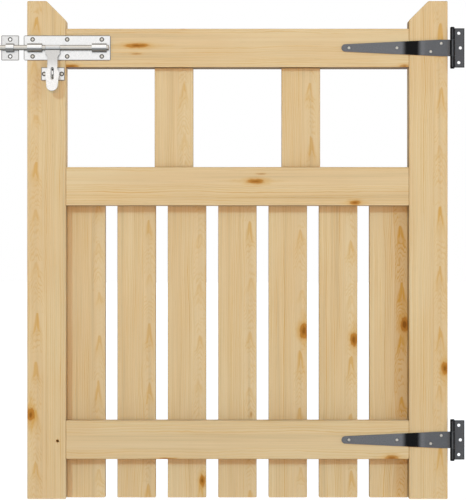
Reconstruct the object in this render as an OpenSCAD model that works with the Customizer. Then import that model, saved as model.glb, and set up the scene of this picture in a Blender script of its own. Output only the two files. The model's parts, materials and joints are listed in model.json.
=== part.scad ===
// Framed softwood garden gate: two stiles and three rails, open windows over seven slats,
// hung on two T hinges and shut by a round padbolt with a hasp, staple and keep.
// +X runs from the latch side to the hinge side, +Y from front to back, +Z up.
// The origin is on the back face of the bottom hinge plate, at the height of its middle.

/* [Leaf] */
// Width of the leaf over both stiles
leaf_w = 760; // [690:5:1000]
// Height of the leaf, foot to stile tops
leaf_h = 900; // [800:10:1300]
// Thickness of the stiles and of the top and middle rails
leaf_t = 45; // [42:1:60]
// Width of each stile
stile_w = 70; // [60:1:80]
// Width and height of the sloped cut on the inner half of each stile top
stile_cut = 35; // [10:1:45]
// Small bevel worked along the edges of every board
edge_bevel = 1.5; // [0.5:0.5:3]

/* [Rails] */
// Height of each rail
rail_h = 70; // [60:1:90]
// Drop from the stile tops to the top of the top rail
top_rail_drop = 50; // [45:1:80]
// Clear height of the window row between the top and middle rails
window_h = 180; // [120:5:260]
// Clear height under the bottom rail
foot_clear = 72; // [60:1:150]
// Thickness of the bottom rail
bottom_rail_t = 25; // [22:1:25]

/* [Joints in the frame] */
// Thickness of the rail tenons
tenon_t = 13; // [10:1:14]
// Wood left in front of the rail tenons
tenon_front = 6; // [5:1:7]
// Shoulder above and below each rail tenon
tenon_shoulder = 10; // [6:1:15]
// How far a rail tenon enters its stile
tenon_l = 45; // [30:1:55]
// Gap round a tenon in its mortise
joint_gap = 0.2; // [0.1:0.1:0.5]

/* [Infill] */
// Width of each slat
slat_w = 70; // [60:1:74]
// Thickness of each slat
slat_t = 20; // [17:1:20]
// How far the slats run up behind the middle rail
slat_lap = 25; // [15:1:35]
// Width of each muntin in the window row
muntin_w = 70; // [50:1:90]
// Thickness of each muntin
muntin_t = 20; // [18:1:24]
// Thickness of the muntin tenons
muntin_tenon_t = 10; // [8:1:12]
// Shoulder at each side of a muntin tenon
muntin_shoulder = 10; // [6:1:15]
// How far a muntin tenon enters its rail
muntin_tenon_l = 15; // [10:1:25]

/* [T hinges] */
// Length of a strap from the pin to its tip
strap_l = 200; // [150:5:300]
// Width of a strap at the pin
strap_root_w = 30; // [26:1:36]
// Width of a strap at its rounded tip
strap_tip_w = 13.4; // [11:0.1:20]
// Length of the parallel stretch of strap beside the pin
strap_root_l = 20; // [10:1:28]
// Thickness of the hinge sheet
hinge_t = 2; // [1.5:0.1:2.5]
// Diameter of the hinge pin
hinge_pin_d = 4; // [4:0.1:6]
// Radial clearance of the pin in its knuckles
pin_clear = 0.1; // [0.05:0.01:0.15]
// Gap between neighbouring knuckles along the pin
knuckle_gap = 0.3; // [0.2:0.1:0.6]
// Height of the butt plate
butt_h = 71; // [66:1:90]
// Width of the butt plate from the pin axis
butt_w = 22; // [20:1:30]
// Distance from the pin axis to the edge of the leaf
hinge_gap = 8; // [8:0.5:12]
// Diameter of the screw holes in the straps
strap_hole_d = 5; // [4:0.1:5.5]
// Distance from the pin to the first strap hole
strap_hole_near = 20; // [14:1:24]
// Height of the first strap hole above the strap's centre line
strap_hole_up = 8; // [6:0.1:9]
// Distance from the pin to the second strap hole
strap_hole_next = 39; // [32:1:46]
// Depth of the second strap hole below the strap's centre line
strap_hole_down = 6.7; // [5:0.1:7.5]
// Distance from the strap's tip to its last hole
strap_hole_tip = 13.4; // [7:0.1:20]
// Diameter of the screw holes in the butt plates
butt_hole_d = 5.6; // [4.5:0.1:6]
// Spacing of the upper and lower butt plate holes
butt_hole_spacing = 53; // [48:1:56]
// Distance from the pin to the upper and lower butt plate holes
butt_hole_out = 11.9; // [9:0.1:14]
// Distance from the pin to the middle butt plate hole
butt_hole_mid_out = 14.7; // [9:0.1:16]
// Diameter of the riveted pin heads
pin_head_d = 8; // [6.5:0.1:8.2]
// Height of the riveted pin heads
pin_head_h = 2.2; // [1.5:0.1:3]
// Bevel round the riveted pin heads
pin_head_bevel = 1; // [0.4:0.1:1.2]

/* [Padbolt] */
// Length of the bolt base plate
bolt_plate_l = 157; // [150:1:180]
// Height of the bolt base plate and the keep plate
bolt_plate_h = 45; // [42:1:52]
// Thickness of the bolt, keep and staple plates
plate_t = 1.5; // [1.2:0.1:2]
// Corner radius of the bolt base plate
bolt_corner_r = 3; // [1:0.5:4]
// How far the bolt base plate stands past the edge of the leaf
bolt_plate_over = 6; // [2:0.5:8]
// Diameter of the bolt rod
rod_d = 9.5; // [8:0.1:10]
// Length of the bolt rod
rod_l = 198; // [190:1:210]
// How far the thrown rod stands past the edge of the leaf
rod_throw = 50; // [46:1:56]
// Bevel at the rod ends
rod_bevel = 1; // [0.5:0.1:1.5]
// Radial clearance of the rod in its guides and keep
rod_clear = 0.6; // [0.4:0.1:0.8]
// Width of each guide along the rod
guide_w = 26.5; // [22:0.5:28]
// Distance from each end of the base plate to its guide
guide_inset = 7; // [5:0.5:9]
// Thickness of the sheet in the guides and the keep band
band_t = 2.2; // [1.5:0.1:2.5]
// Foot flange of the guides and the keep band
band_foot = 1.2; // [0.5:0.1:2]
// Diameter of the screw holes in the bolt, keep and staple plates
plate_hole_d = 4.6; // [4:0.1:5]
// Diameter of the countersinks round those holes
plate_sink_d = 8.4; // [7:0.1:9]
// Depth of the countersinks
plate_sink_depth = 0.9; // [0.5:0.1:1]
// Spacing across the rod of the screw holes in the bolt and keep plates
plate_hole_spacing = 30.6; // [28:0.2:34]
// Distance from each end of the base plate to its outer screw holes
plate_hole_inset = 16; // [12:0.5:20]

/* [Hasp] */
// Width of the hasp where it wraps the rod
hasp_w = 26.5; // [24:0.5:28]
// Distance from the thrown hasp to the outer guide
hasp_from_guide = 6; // [5:0.5:8]
// Width of the hasp neck
hasp_neck_w = 18.2; // [16:0.1:20]
// Height of the full-width top, below the rod axis
hasp_top_h = 11; // [9:0.5:13]
// Radius of the hollow shoulders between the top and the neck
hasp_shoulder_r = 9; // [6:0.5:10]
// Width of the hasp at its belly
hasp_belly_w = 25; // [22:0.1:27]
// Width of the rounded tip
hasp_tip_w = 20; // [14:0.5:22]
// Distance from the rod axis to the tip
hasp_l = 82; // [78:1:90]
// Thickness of the hasp
hasp_t = 2; // [1.6:0.1:2.4]
// Distance from the rod axis down to the bend
hasp_bend = 28; // [24:1:30]
// Distance from the leaf face to the back of the hanging hasp
hasp_stand_off = 3.5; // [3:0.1:4]
// Wall of the sleeve that wraps the neck of the rod
sleeve_t = 1.4; // [1.2:0.1:1.6]
// Width of the hasp slot
slot_w = 5.5; // [5:0.1:7]
// Room left above the staple by the hasp slot
slot_above = 1; // [0.8:0.1:2]
// Room left below the staple by the hasp slot
slot_below = 5; // [2:0.5:6]
// Angle at which the hasp is stored, lifted from hanging
hasp_lift = 16; // [16:1:60]

/* [Staple and keep] */
// Width of the staple plate
staple_plate_w = 42.3; // [40:0.1:48]
// Height of the staple plate
staple_plate_h = 23.6; // [22:0.2:28]
// Distance from the rod axis down to the middle of the staple
staple_drop = 47; // [46:0.5:49]
// Spacing of the staple plate screw holes
staple_hole_spacing = 31.6; // [31:0.2:34]
// Height of the staple eye
staple_h = 18; // [16:0.5:19]
// Thickness of the staple eye
staple_t = 2.5; // [2:0.1:3]
// Diameter of the padlock hole in the staple
padlock_hole_d = 6.4; // [5.5:0.1:7]
// Metal left in front of the padlock hole
staple_rim = 2.2; // [1.8:0.1:2.6]
// Width of the keep plate
keep_w = 32; // [28:1:36]
// Gap between the keep plate and the bolt base plate
keep_gap = 8.5; // [7:0.5:10]
// Width of the keep band along the rod
keep_band_w = 14.5; // [12:0.5:18]
// Corner radius of the keep plate
keep_corner_r = 2; // [1:0.5:3]

/* [Hidden] */
SLATS = 7;
MUNTINS = 2;
$fn = 64;
// Overshoot that lets a cut pass cleanly through a face
over = 1;

// Places of the leaf: the origin is this far outboard of the hinge pins
datum_from_pin = 8;
pin_x = -datum_from_pin;
hinge_edge = pin_x - hinge_gap;
latch_edge = hinge_edge - leaf_w;
foot = -(foot_clear + rail_h / 2);
bottom_rail_z = foot + foot_clear;
top_rail_z = foot + leaf_h - top_rail_drop - rail_h;
middle_rail_z = top_rail_z - window_h - rail_h;
opening_w = leaf_w - 2 * stile_w;
opening_x = latch_edge + stile_w;
slat_top = middle_rail_z + slat_lap;
slat_pitch = (opening_w - slat_w) / (SLATS - 1);
window_w = (opening_w - MUNTINS * muntin_w) / (MUNTINS + 1);
muntin_y = (leaf_t - muntin_t) / 2;
muntin_tenon_y = (leaf_t - muntin_tenon_t) / 2;

// Heights of the hinges, each at the middle of its rail
hinge_z_bottom = 0;
hinge_z_top = top_rail_z + rail_h / 2;
pin_r = hinge_pin_d / 2;
knuckle_bore_r = pin_r + pin_clear;
knuckle_r = knuckle_bore_r + hinge_t;
pin_y = -knuckle_r;

// Places of the padbolt, at the middle of the top rail
bolt_z = top_rail_z + rail_h / 2;
plate_x0 = latch_edge - bolt_plate_over;
plate_x1 = plate_x0 + bolt_plate_l;
rod_r = rod_d / 2;
band_in_r = rod_r + rod_clear;
band_out_r = band_in_r + band_t;
rod_y = -(plate_t + rod_clear + rod_r);
rod_x0 = latch_edge - rod_throw;
hasp_x0 = plate_x0 + guide_inset + guide_w + hasp_from_guide;
hasp_x = hasp_x0 + hasp_w / 2;
// Room between each end of the hasp's sleeve and the shoulder of the rod's neck
hasp_end_gap = 0.2;
neck_r = rod_r - sleeve_t - pin_clear;
hasp_y = -(hasp_stand_off + hasp_t / 2);
staple_z = bolt_z - staple_drop;
slot_h = slot_above + staple_h + slot_below;
slot_drop = staple_drop + (slot_below - slot_above) / 2;
padlock_y = -(hasp_stand_off + hasp_t + joint_gap + padlock_hole_d / 2);
staple_tip_y = padlock_y - padlock_hole_d / 2 - staple_rim;
keep_x = plate_x0 - keep_gap - keep_w / 2;

PINE = [0.85, 0.74, 0.56];
BLACK = [0.13, 0.13, 0.14];
ZINC = [0.86, 0.86, 0.87];

// Extrudes a (Y, Z) outline along X
module along_x(length) rotate([90, 0, 90]) linear_extrude(length) children();

// Extrudes an (X, Z) outline from the front (y0) to the back (y1)
module along_y(y0, y1) translate([0, y1, 0]) rotate([90, 0, 0]) linear_extrude(y1 - y0) children();

// A board's cross-section with its four long edges bevelled
module board_section(a, b) {
    c = edge_bevel;
    polygon([[c, 0], [a - c, 0], [a, c], [a, b - c], [a - c, b], [c, b], [0, b - c], [0, c]]);
}

// A rectangle with round corners, about the origin
module rounded_rect(a, b, r) {
    square([a - 2 * r, b], center = true);
    square([a, b - 2 * r], center = true);
    for (sx = [-1, 1], sy = [-1, 1])
        translate([sx * (a / 2 - r), sy * (b / 2 - r)]) circle(r);
}

// Half angle of a taper from half width h to a round end of radius r at distance d
function taper_angle(h, d, r) = acos(r / norm([h, d])) - atan2(d, h);

// Outline from a flat root of width w to a round tip of width tip_w, d from root to tip centre
module tapered_outline(w, tip_w, d) {
    r = tip_w / 2;
    a = taper_angle(w / 2, d, r);
    polygon([[0, -w / 2], [0, w / 2], [-d - r * sin(a), r * cos(a)], [-d - r * sin(a), -r * cos(a)]]);
    translate([-d, 0]) circle(r);
}

// A hole or pin lying along Y
module cyl_y(x, z, d, y0, y1) translate([x, y1, z]) rotate([90, 0, 0]) cylinder(d = d, h = y1 - y0);

// A countersunk screw hole through a padbolt plate, cut from its front
module plate_hole(x, z) {
    r = plate_hole_d / 2;
    seat = plate_t - plate_sink_depth;
    flare = (plate_sink_d - plate_hole_d) / 2 / plate_sink_depth;
    translate([x, 0, z]) rotate([90, 0, 0]) rotate_extrude() polygon([
        [0, -over], [r, -over], [r, seat],
        [r + flare * (plate_sink_depth + over), plate_t + over], [0, plate_t + over]
    ]);
}

/* Frame */

// One tenon or, grown by a gap, its mortise; x is its root and dir its direction
module rail_tenon(x, z, dir, gap) {
    l = tenon_l + gap;
    translate([dir > 0 ? x : x - l, tenon_front - gap, z + tenon_shoulder - gap])
        cube([l, tenon_t + 2 * gap, rail_h - 2 * tenon_shoulder + 2 * gap]);
}

// A stile in place; side is -1 at the latch edge and 1 at the hinge edge
module stile(side) {
    x0 = side < 0 ? latch_edge : hinge_edge - stile_w;
    inner = side < 0 ? opening_x : opening_x + opening_w;
    difference() {
        intersection() {
            translate([x0, 0, foot]) linear_extrude(leaf_h) board_section(stile_w, leaf_t);
            along_y(-over, leaf_t + over)
                translate([x0 + stile_w / 2, foot]) mirror([side > 0 ? 1 : 0, 0])
                    polygon([
                        [-stile_w / 2 - over, -over], [stile_w / 2 + over, -over],
                        [stile_w / 2 + over, leaf_h - stile_cut - over],
                        [stile_w / 2 - stile_cut, leaf_h], [-stile_w / 2 - over, leaf_h]
                    ]);
        }
        for (z = [bottom_rail_z, middle_rail_z, top_rail_z]) {
            rail_tenon(inner, z, side, joint_gap);
        }
    }
}

// A plain rail with a tenon at each end
module rail(z, t) {
    translate([opening_x, 0, z]) along_x(opening_w) board_section(t, rail_h);
    rail_tenon(opening_x, z, -1, 0);
    rail_tenon(opening_x + opening_w, z, 1, 0);
}

// Left edge of muntin i, counted from 0
function muntin_x(i) = opening_x + window_w + i * (muntin_w + window_w);

// The tenons of all muntins at one rail face, grown by a gap; dir is +1 upwards
module muntin_tenons(z, dir, gap) {
    l = muntin_tenon_l + gap;
    for (i = [0 : MUNTINS - 1])
        translate([muntin_x(i) + muntin_shoulder - gap, muntin_tenon_y - gap, dir > 0 ? z : z - l])
            cube([muntin_w - 2 * muntin_shoulder + 2 * gap, muntin_tenon_t + 2 * gap, l]);
}

module latch_stile() color(PINE) stile(-1);

module hinge_stile() color(PINE) stile(1);

module top_rail() color(PINE) difference() {
    rail(top_rail_z, leaf_t);
    muntin_tenons(top_rail_z, 1, joint_gap);
}

// Its lower back edge is rebated for the slat tops
module middle_rail() color(PINE) difference() {
    rail(middle_rail_z, leaf_t);
    muntin_tenons(middle_rail_z + rail_h, -1, joint_gap);
    translate([opening_x, leaf_t - slat_t, middle_rail_z - over])
        cube([opening_w, slat_t + over, slat_lap + over]);
}

module bottom_rail() color(PINE) rail(bottom_rail_z, bottom_rail_t);

// Muntin i of the window row
module muntin(i) color(PINE) {
    translate([muntin_x(i), muntin_y, middle_rail_z + rail_h])
        linear_extrude(window_h) board_section(muntin_w, muntin_t);
    intersection() {
        union() {
            muntin_tenons(top_rail_z, 1, 0);
            muntin_tenons(middle_rail_z + rail_h, -1, 0);
        }
        translate([muntin_x(i), 0, foot]) cube([muntin_w, leaf_t, leaf_h]);
    }
}

// Slat n, counted from 1 at the latch side, behind the bottom rail and up into the rebate
module slat(n) color(PINE)
    translate([opening_x + (n - 1) * slat_pitch, leaf_t - slat_t, foot])
        linear_extrude(slat_top - foot) board_section(slat_w, slat_t);

/* T hinges */

// A rolled knuckle from z0 to z1 about the pin, without its bore
module knuckle(z0, z1) translate([pin_x, pin_y, z0]) cylinder(r = knuckle_r, h = z1 - z0);

module knuckle_bore(z) translate([pin_x, pin_y, z - butt_h]) cylinder(r = knuckle_bore_r, h = 2 * butt_h);

// Screw holes of a strap as [distance from the pin, height off the centre line]
strap_holes = [
    [strap_hole_near, strap_hole_up],
    [strap_hole_next, -strap_hole_down],
    [strap_l / 2, 0],
    [strap_l - strap_hole_tip, 0]
];

// A strap with its middle knuckle, at hinge height z
module hinge_strap(z) color(BLACK) difference() {
    union() {
        along_y(-hinge_t, 0) translate([pin_x, z]) {
            translate([-strap_root_l, -strap_root_w / 2]) square([strap_root_l, strap_root_w]);
            translate([-strap_root_l, 0])
                tapered_outline(strap_root_w, strap_tip_w, strap_l - strap_root_l - strap_tip_w / 2);
        }
        knuckle(z - strap_root_w / 2, z + strap_root_w / 2);
    }
    knuckle_bore(z);
    for (h = strap_holes) cyl_y(pin_x - h[0], z + h[1], strap_hole_d, -hinge_t - over, over);
}

// Butt plate holes as [distance from the pin, height]: the middle one is staggered outwards
butt_holes = [
    [butt_hole_out, -butt_hole_spacing / 2],
    [butt_hole_mid_out, 0],
    [butt_hole_out, butt_hole_spacing / 2]
];

// A butt plate with its two outer knuckles, at hinge height z
module hinge_plate(z) color(BLACK) {
    inner = strap_root_w / 2 + knuckle_gap;
    difference() {
        union() {
            translate([pin_x, -hinge_t, z - butt_h / 2]) cube([butt_w, hinge_t, butt_h]);
            knuckle(z - butt_h / 2, z - inner);
            knuckle(z + inner, z + butt_h / 2);
        }
        translate([pin_x - knuckle_r - over, -2 * knuckle_r - over, z - inner])
            cube([2 * knuckle_r + over + knuckle_gap, 2 * (knuckle_r + over), 2 * inner]);
        knuckle_bore(z);
        for (h = butt_holes) cyl_y(pin_x + h[0], z + h[1], butt_hole_d, -hinge_t - over, over);
    }
}

// A pin with a riveted head at each end, at hinge height z
module hinge_pin(z) color(BLACK) translate([pin_x, pin_y, z]) rotate_extrude() {
    half = butt_h / 2;
    end = half + pin_head_h;
    r = pin_head_d / 2;
    c = pin_head_bevel;
    polygon([
        [0, -end], [r - c, -end], [r, c - end], [r, -half], [pin_r, -half],
        [pin_r, half], [r, half], [r, end - c], [r - c, end], [0, end]
    ]);
}

module hinge_strap_top() hinge_strap(hinge_z_top);

module hinge_strap_bottom() hinge_strap(hinge_z_bottom);

module hinge_plate_top() hinge_plate(hinge_z_top);

module hinge_plate_bottom() hinge_plate(hinge_z_bottom);

module hinge_pin_top() hinge_pin(hinge_z_top);

module hinge_pin_bottom() hinge_pin(hinge_z_bottom);

/* Padbolt */

module bolt_plate() color(ZINC) difference() {
    along_y(-plate_t, 0) translate([(plate_x0 + plate_x1) / 2, bolt_z])
        rounded_rect(bolt_plate_l, bolt_plate_h, bolt_corner_r);
    for (x = [plate_x0 + plate_hole_inset, (plate_x0 + plate_x1) / 2, plate_x1 - plate_hole_inset],
         s = [-1, 1])
        plate_hole(x, bolt_z + s * plate_hole_spacing / 2);
}

// An arched band over the rod, standing on a plate, from x over a width w
module rod_band(x, w) {
    seat = -plate_t - rod_y;
    translate([x, rod_y, bolt_z]) along_x(w) difference() {
        union() {
            circle(band_out_r);
            translate([0, -band_out_r]) square([seat, 2 * band_out_r]);
            translate([seat - band_t / 2, -band_out_r - band_foot])
                square([band_t / 2, 2 * (band_out_r + band_foot)]);
        }
        circle(band_in_r);
        translate([0, -band_in_r]) square([band_out_r + over, 2 * band_in_r]);
        translate([seat, -2 * band_out_r]) square([band_out_r, 4 * band_out_r]);
    }
}

module bolt_guide_outer() color(ZINC) rod_band(plate_x0 + guide_inset, guide_w);

module bolt_guide_inner() color(ZINC) rod_band(plate_x1 - guide_inset - guide_w, guide_w);

// The rod, necked where the hasp's sleeve wraps it
module bolt_rod() color(ZINC) translate([rod_x0, rod_y, bolt_z]) rotate([0, 90, 0]) rotate_extrude() {
    n0 = hasp_x0 - rod_x0;
    n1 = n0 + hasp_w;
    polygon([
        [0, 0], [rod_r - rod_bevel, 0], [rod_r, rod_bevel], [rod_r, n0], [neck_r, n0],
        [neck_r, n1], [rod_r, n1], [rod_r, rod_l - rod_bevel], [rod_r - rod_bevel, rod_l], [0, rod_l]
    ]);
}

// Points along an arc of radius r about c, from angle a0 to a1
function arc(c, r, a0, a1, steps = 16) =
    [for (i = [0 : steps]) let (a = a0 + (a1 - a0) * i / steps) c + r * [cos(a), sin(a)]];

// A closed outline from its right half, listed from top to bottom
function both_sides(half) = concat(half, [for (i = [len(half) - 1 : -1 : 0]) [-half[i][0], half[i][1]]]);

// Front outline of the hanging hasp, in X and Z about the rod axis
module hasp_outline() {
    top = hasp_w / 2 - hasp_end_gap;
    neck = hasp_neck_w / 2;
    belly_r = hasp_belly_w / 2;
    tip_r = hasp_tip_w / 2;
    shoulder = [neck + hasp_shoulder_r, -hasp_top_h - hasp_shoulder_r];
    belly = [0, -slot_drop];
    tip = [0, tip_r - hasp_l];
    flank = asin((belly_r - tip_r) / (belly[1] - tip[1]));
    polygon(both_sides(concat(
        [[top, 0]],
        arc(shoulder, hasp_shoulder_r, 180 - acos((shoulder[0] - top) / hasp_shoulder_r), 180),
        arc(belly, belly_r, acos(neck / belly_r), -flank),
        arc(tip, tip_r, -flank, -90)
    )));
}

// Outline of the hasp slot about its middle
module slot_outline() {
    r = slot_w / 2;
    polygon(concat(arc([0, slot_h / 2 - r], r, 0, 180), arc([0, r - slot_h / 2], r, 180, 360)));
}

// Side profile of the hanging hasp, in Y and Z about the rod axis: cranked in at the bend
module hasp_side() {
    set_in = hasp_y - rod_y;
    half = hasp_t / 2;
    polygon([
        [-half, 0], [half, 0], [set_in + half, -hasp_bend], [set_in + half, -hasp_l - over],
        [set_in - half, -hasp_l - over], [set_in - half, -hasp_bend]
    ]);
}

module hasp() color(ZINC) translate([hasp_x, rod_y, bolt_z]) rotate([-hasp_lift, 0, 0]) difference() {
    union() {
        intersection() {
            along_y(-hasp_l, hasp_l) hasp_outline();
            translate([-hasp_w, 0, 0]) along_x(2 * hasp_w) hasp_side();
        }
        translate([-hasp_w / 2 + hasp_end_gap, 0, 0]) along_x(hasp_w - 2 * hasp_end_gap) circle(rod_r);
    }
    translate([-hasp_w, 0, 0]) along_x(2 * hasp_w) circle(neck_r + pin_clear);
    along_y(-hasp_l, hasp_l) translate([0, -slot_drop]) slot_outline();
}

module staple_plate() color(ZINC) difference() {
    along_y(-plate_t, 0) translate([hasp_x, staple_z])
        square([staple_plate_w, staple_plate_h], center = true);
    for (s = [-1, 1]) plate_hole(hasp_x + s * staple_hole_spacing / 2, staple_z);
}

// The eye that takes the padlock, standing on the staple plate
module staple() color(ZINC) translate([hasp_x - staple_t / 2, 0, staple_z]) along_x(staple_t) difference() {
    r = staple_h / 2;
    union() {
        translate([staple_tip_y + r, 0]) circle(r);
        translate([staple_tip_y + r, -r]) square([-plate_t - staple_tip_y - r, staple_h]);
    }
    translate([padlock_y, 0]) circle(d = padlock_hole_d);
    translate([-plate_t, -staple_h]) square([staple_h, 2 * staple_h]);
}

module keep_plate() color(ZINC) difference() {
    along_y(-plate_t, 0) translate([keep_x, bolt_z]) rounded_rect(keep_w, bolt_plate_h, keep_corner_r);
    for (s = [-1, 1]) plate_hole(keep_x, bolt_z + s * plate_hole_spacing / 2);
}

module keep_band() color(ZINC) rod_band(keep_x - keep_band_w / 2, keep_band_w);

latch_stile();
hinge_stile();
top_rail();
middle_rail();
bottom_rail();
muntin(0);  // muntin_left
muntin(1);  // muntin_right
slat(1);  // slat_1
slat(2);  // slat_2
slat(3);  // slat_3
slat(4);  // slat_4
slat(5);  // slat_5
slat(6);  // slat_6
slat(7);  // slat_7
hinge_strap_top();
hinge_strap_bottom();
hinge_plate_top();
hinge_plate_bottom();
hinge_pin_top();
hinge_pin_bottom();
bolt_plate();
bolt_guide_outer();
bolt_guide_inner();
bolt_rod();
hasp();
staple_plate();
staple();
keep_plate();
keep_band();
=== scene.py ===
"""Framed pine garden gate: boards, T hinges, padbolt and fixings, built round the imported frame."""

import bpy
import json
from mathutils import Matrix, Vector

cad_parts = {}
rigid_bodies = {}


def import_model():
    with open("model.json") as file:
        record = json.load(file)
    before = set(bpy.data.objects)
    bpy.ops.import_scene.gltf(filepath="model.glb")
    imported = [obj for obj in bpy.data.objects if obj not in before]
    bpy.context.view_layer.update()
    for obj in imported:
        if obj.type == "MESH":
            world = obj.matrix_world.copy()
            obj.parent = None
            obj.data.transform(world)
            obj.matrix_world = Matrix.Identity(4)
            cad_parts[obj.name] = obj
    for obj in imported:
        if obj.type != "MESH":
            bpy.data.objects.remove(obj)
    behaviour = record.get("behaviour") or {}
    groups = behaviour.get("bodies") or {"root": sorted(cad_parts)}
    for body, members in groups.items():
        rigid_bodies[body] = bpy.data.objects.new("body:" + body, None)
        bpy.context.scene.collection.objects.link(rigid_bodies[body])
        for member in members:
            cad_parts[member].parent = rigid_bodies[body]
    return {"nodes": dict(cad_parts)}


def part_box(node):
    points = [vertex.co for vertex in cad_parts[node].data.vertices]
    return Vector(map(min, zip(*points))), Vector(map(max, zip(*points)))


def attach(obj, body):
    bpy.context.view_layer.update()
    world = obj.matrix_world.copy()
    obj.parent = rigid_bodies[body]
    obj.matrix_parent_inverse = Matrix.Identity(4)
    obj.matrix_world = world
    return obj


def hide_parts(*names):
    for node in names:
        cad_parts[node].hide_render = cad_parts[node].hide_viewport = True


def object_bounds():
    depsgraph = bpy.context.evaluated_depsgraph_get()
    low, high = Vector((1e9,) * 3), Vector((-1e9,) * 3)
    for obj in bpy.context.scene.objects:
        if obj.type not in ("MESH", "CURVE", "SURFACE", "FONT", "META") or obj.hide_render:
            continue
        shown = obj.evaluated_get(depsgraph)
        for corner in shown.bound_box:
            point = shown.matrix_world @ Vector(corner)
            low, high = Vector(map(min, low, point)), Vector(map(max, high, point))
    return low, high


bl_info = {
    "name": "Garden Gate",
    "version": (1, 0, 0),
    "blender": (4, 5, 0),
    "location": "View3D > Sidebar > Gate",
    "description": "Dresses a framed garden gate in pine boards, black T hinges and a zinc padbolt",
    "category": "Add Mesh",
}

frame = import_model()
CAD_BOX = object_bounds()

import json
import math
import random

import bmesh
import bpy
from bpy.props import FloatProperty, FloatVectorProperty, IntProperty, PointerProperty
from bpy.types import Operator, Panel, PropertyGroup
from mathutils import Vector

MM = 0.001
TO_MM = 1000.0
QUARTER_TURN = math.radians(90.0)
SLATS = [name for name in sorted(frame["nodes"]) if name.startswith("slat_")]

# places on the fittings, in metres, as the frame's own pieces have them
STRAP_HOLES = ((0.020, 0.008), (0.039, -0.0067), (0.100, 0.0), (0.1866, 0.0))
STRAP_THICKNESS = 0.002
PLATE_INSET = 0.016
PLATE_HOLE_Z = 0.0153
STAPLE_HOLE_X = 0.0158
HASP_SHOULDER = 0.028
# countersinks of the padbolt plates: width at the face, width of the bore, depth
SINK_WIDTH, SINK_BORE, SINK_DEPTH = 0.0084, 0.0046, 0.0009
# the open pin hole in the latch stile: x and z, depth
PIN_HOLE, PIN_DEPTH = (-0.721, -0.002), 0.022
# rounding of metal edges: coated strap and plate, hinge pin, plated pieces
COATED_EDGE, PIN_EDGE, PLATED_EDGE = 0.0004, 0.0003, 0.00035
# width of a screw's sloping flank, and how far from a slat's middle its nails are, as a share
SCREW_FLANK = 0.0006
NAIL_REACH = 0.27
# in millimetres: where the painted reflection, a dark glossy band across each strap, starts and
# ends, from the joint of rail and hinge stile, and half the width of the strap's knuckle
REFLECTION_BAND_EDGES = (-15.0, -4.0, 14.0, 24.0)
KNUCKLE_HALF = 3.9
ZINC_NODES = {
    "bolt_plate": "leaf", "bolt_guide_outer": "leaf", "bolt_guide_inner": "leaf",
    "staple_plate": "leaf", "staple": "leaf", "bolt_rod": "bolt", "hasp": "hasp_arm",
    "keep_plate": "post_side", "keep_band": "post_side",
}

# pine, in millimetres: how much narrower than deep its rings are, how far from the heart they give
# way to flames, a flame's length and half width, and the arches that lie below each flame
RING_SQUEEZE = 1.35
FLAME_ZONE = (7.0, 15.0)
FLAME_LENGTH = (32.0, 66.0)
FLAME_HALF, HOLLOW_HALF = 8.6, 12.0
ARCH_STEP, ARCH_BOW = 10.5, 0.28
# sockets of the knot group after its place, and what it hands on to the pine
KNOT_SHAPE = ("Across", "Along", "Half Width", "Half Length", "Swell")
KNOT_MARKS = ("Swell", "Wood", "Pip", "Halo")
SOCKET_KINDS = {"Place": "Vector", "Colour": "Color"}

# lamps: the way each shines, its width in degrees and its tint
LAMPS = {
    "room": ((0.0, 0.0, -1.0), 160.0, "white"),
    "front": ((0.0, 1.0, 0.0), 18.0, "warm"),
    "key": ((10.5, 25.0, -12.6), 2.5, "cool"),
    "fill": ((-28.0, 25.0, -12.6), 20.0, "cool"),
    "back": ((-10.0, -25.0, -10.0), 20.0, "white"),
}
# the floor: size and the middle of its dim part in front of the gate, in metres, the dim part's
# inner and outer radius in millimetres, and the floor's grey inside and outside it
FLOOR_SIZE, DIM_MIDDLE_Y = 60.0, -0.6
DIM_EDGES = (300.0, 1000.0)
FLOOR_DIM, FLOOR_OPEN = (0.08, 0.08, 0.08), (0.56, 0.56, 0.56)
WHITE = (1.0, 1.0, 1.0)
# the view's middle lies this far to the right of the middle of the gate and its fittings
VIEW_SHIFT = 0.002
FILM_WIDTH = 36.0


# ------------------------ settings

def colour(name, description, value, most=1.0):
    """A linear colour setting."""
    return FloatVectorProperty(
        name=name, description=description, subtype="COLOR", size=3,
        min=0.0, max=most, default=value)


def length(name, description, value):
    """A setting in metres."""
    return FloatProperty(
        name=name, description=description, unit="LENGTH", min=0.0, default=value, precision=4)


def share(name, description, value):
    """A setting between nought and one."""
    return FloatProperty(
        name=name, description=description, subtype="FACTOR", min=0.0, max=1.0, default=value)


def strength(name, description, value):
    """A lamp's strength."""
    return FloatProperty(name=name, description=description, min=0.0, default=value)


class PineSettings(PropertyGroup):
    """Sizes and colours of the boards."""

    early: colour("Early Wood", "Pale wood between the growth rings", (0.668, 0.462, 0.250))
    late: colour("Late Wood", "Orange band of each growth ring", (0.560, 0.270, 0.045))
    warm: colour("Warm Patch", "Pinker wood in broad patches", (0.640, 0.418, 0.215))
    knot: colour("Knot", "Wood of a branch seen on its end", (0.440, 0.165, 0.020))
    pip: colour("Knot Centre", "Darkest wood in the middle of a knot", (0.260, 0.082, 0.005))
    ring: length("Ring Width", "Distance between two growth rings", 0.0036)
    arris: length("Arris", "Radius of the eased edges", 0.0016)
    top_cut: length("Top Cut", "Width of the sloping cut on each stile's head", 0.035)
    lap: length("Rail Lap", "Thickness of the rail in front of the slats", 0.025)
    # painted shade: the next three settings draw the uprights' sides, the latch stile's inner side
    # and the rails' undersides darker and warmer, where shade falls
    shaded: share("Sawn Sides", "How much darker the sawn sides of the uprights are", 0.38)
    latch_shaded: share("Latch Side", "How much darker the latch stile's inner side is", 0.08)
    underside_shade: share("Undersides", "How much darker the undersides of the rails are", 0.74)
    rough: share("Roughness", "Roughness of the planed surface", 0.58)


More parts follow.
